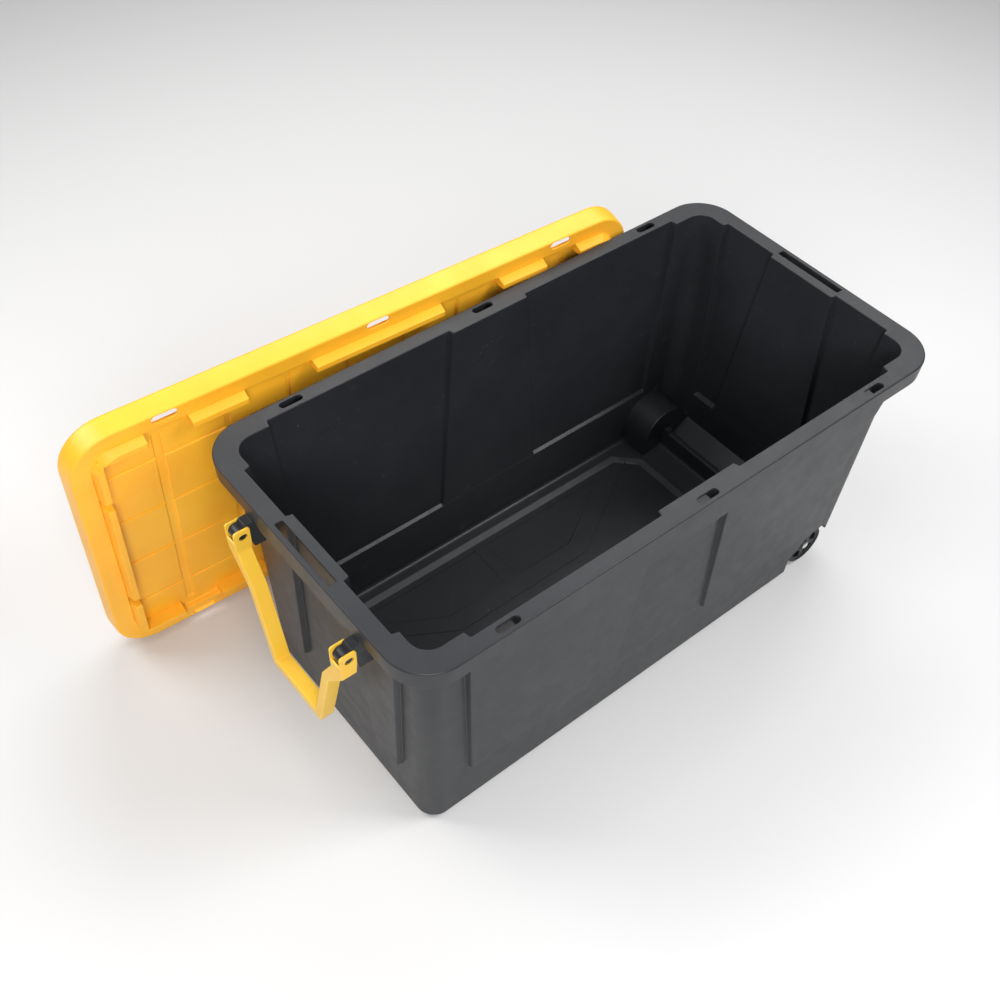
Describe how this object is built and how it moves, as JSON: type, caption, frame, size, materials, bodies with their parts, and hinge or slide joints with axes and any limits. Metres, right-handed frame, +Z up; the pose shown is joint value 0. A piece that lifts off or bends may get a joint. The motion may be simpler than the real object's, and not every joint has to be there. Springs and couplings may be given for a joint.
{
  "type": "wheeled deck storage box",
  "caption": "Large black moulded storage tub with a slotted rim, swinging yellow pull handle, two wheels and a loose yellow lid leaning on its side.",
  "frame": {"origin": "on the ground, at the middle of the tub's rim in plan, on the flat bottom of the floor pan", "axes": "+Z up, +X towards the wheel end, -X the handle end, +Y the long side that the lid leans on"},
  "size_m": [1.2676, 0.7007, 0.5605],
  "materials": {
    "black_moulding": "fine satin moulded texture",
    "yellow_lid": "satin moulded",
    "yellow_handle": "satin moulded",
    "black_pin": "satin moulded",
    "wheel_moulding": "satin moulded",
    "zinc_steel": "bright zinc"
  },
  "bodies": {
    "base": {"tub": "black_moulding", "handle_pin_front": "black_pin", "handle_pin_back": "black_pin", "axle": "zinc_steel", "axle_cap_front": "zinc_steel", "axle_cap_back": "zinc_steel", "axle_washer_front": "zinc_steel", "axle_washer_back": "zinc_steel"},
    "handle": {"pull_handle": "yellow_handle"},
    "wheel_front": {"wheel_front": "wheel_moulding"},
    "wheel_back": {"wheel_back": "wheel_moulding"},
    "lid": {"lid": "yellow_lid"}
  },
  "joints": [
    {"name": "handle_swing", "type": "hinge", "parent": "base", "child": "handle", "pos_m": [-0.5612, 0, 0.4557], "axis": [0, 1, 0], "range_deg": [-5, 115]},
    {"name": "wheel_front_spin", "type": "hinge", "parent": "base", "child": "wheel_front", "pos_m": [0.4235, -0.2038, 0.047], "axis": [0, 1, 0], "continuous": true},
    {"name": "wheel_back_spin", "type": "hinge", "parent": "base", "child": "wheel_back", "pos_m": [0.4235, 0.2038, 0.047], "axis": [0, 1, 0], "continuous": true},
    {"name": "lid_lift", "type": "slide", "parent": "base", "child": "lid", "axis": [0, 0.5, 0.866], "range_m": [0, 0.3]}
  ]
}
